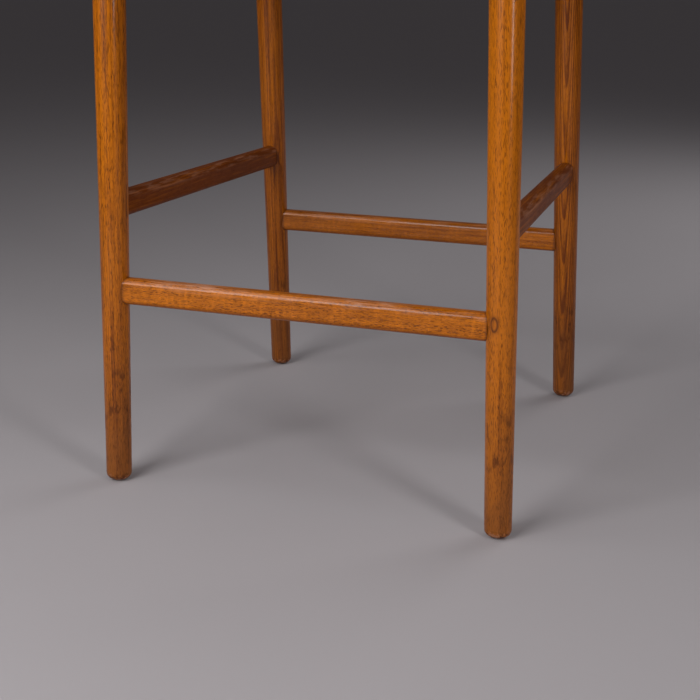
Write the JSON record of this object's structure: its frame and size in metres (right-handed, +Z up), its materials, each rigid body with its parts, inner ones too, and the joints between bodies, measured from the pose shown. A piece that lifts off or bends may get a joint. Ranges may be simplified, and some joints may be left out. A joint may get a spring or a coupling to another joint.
{
  "type": "bar stool",
  "caption": "Bar stool on round tapered wooden legs, with a low front footrest, a level rear stretcher, higher side stretchers and a piped, padded leather seat.",
  "frame": {"origin": "on the floor, under the middle of the overall footprint", "axes": "+Z up, -Y the way the sitter faces (the footrest's side), +X to the sitter's left as they sit and to the right as seen from the front"},
  "size_m": [0.4573, 0.5071, 0.7569],
  "materials": {
    "stained_beech": "stained beech under a worn satin lacquer",
    "plain_beech": "planed, unfinished",
    "plywood": "sanded, unfinished",
    "screw_steel": "dull zinc plate",
    "insert_steel": "turned brass",
    "staple_steel": "galvanised wire",
    "glide": "moulded, scuffed",
    "foam": "open-cell foam",
    "wadding": "fibre wadding",
    "seat_leather": "grained, semi-matt",
    "piping_leather": "grained, semi-matt",
    "dust_cloth": "woven dust cloth"
  },
  "bodies": {
    "root": {"front_left_leg": "stained_beech", "front_right_leg": "stained_beech", "rear_left_leg": "stained_beech", "rear_right_leg": "stained_beech", "front_footrest": "stained_beech", "rear_stretcher": "stained_beech", "left_stretcher": "stained_beech", "right_stretcher": "stained_beech", "front_seat_rail": "stained_beech", "rear_seat_rail": "stained_beech", "left_seat_rail": "stained_beech", "right_seat_rail": "stained_beech", "rail_dowels": "plain_beech", "front_left_corner_block": "plain_beech", "front_right_corner_block": "plain_beech", "rear_left_corner_block": "plain_beech", "rear_right_corner_block": "plain_beech", "corner_block_screws": "screw_steel", "seat_bolts": "screw_steel", "seat_bolt_washers": "screw_steel", "seat_insert_nuts": "insert_steel", "underside_staples": "staple_steel", "foot_glides": "glide", "seat_board": "plywood", "seat_foam": "foam", "seat_wadding": "wadding", "seat_cover": "seat_leather", "seat_piping": "piping_leather", "dust_cover": "dust_cloth"}
  },
  "joints": []
}
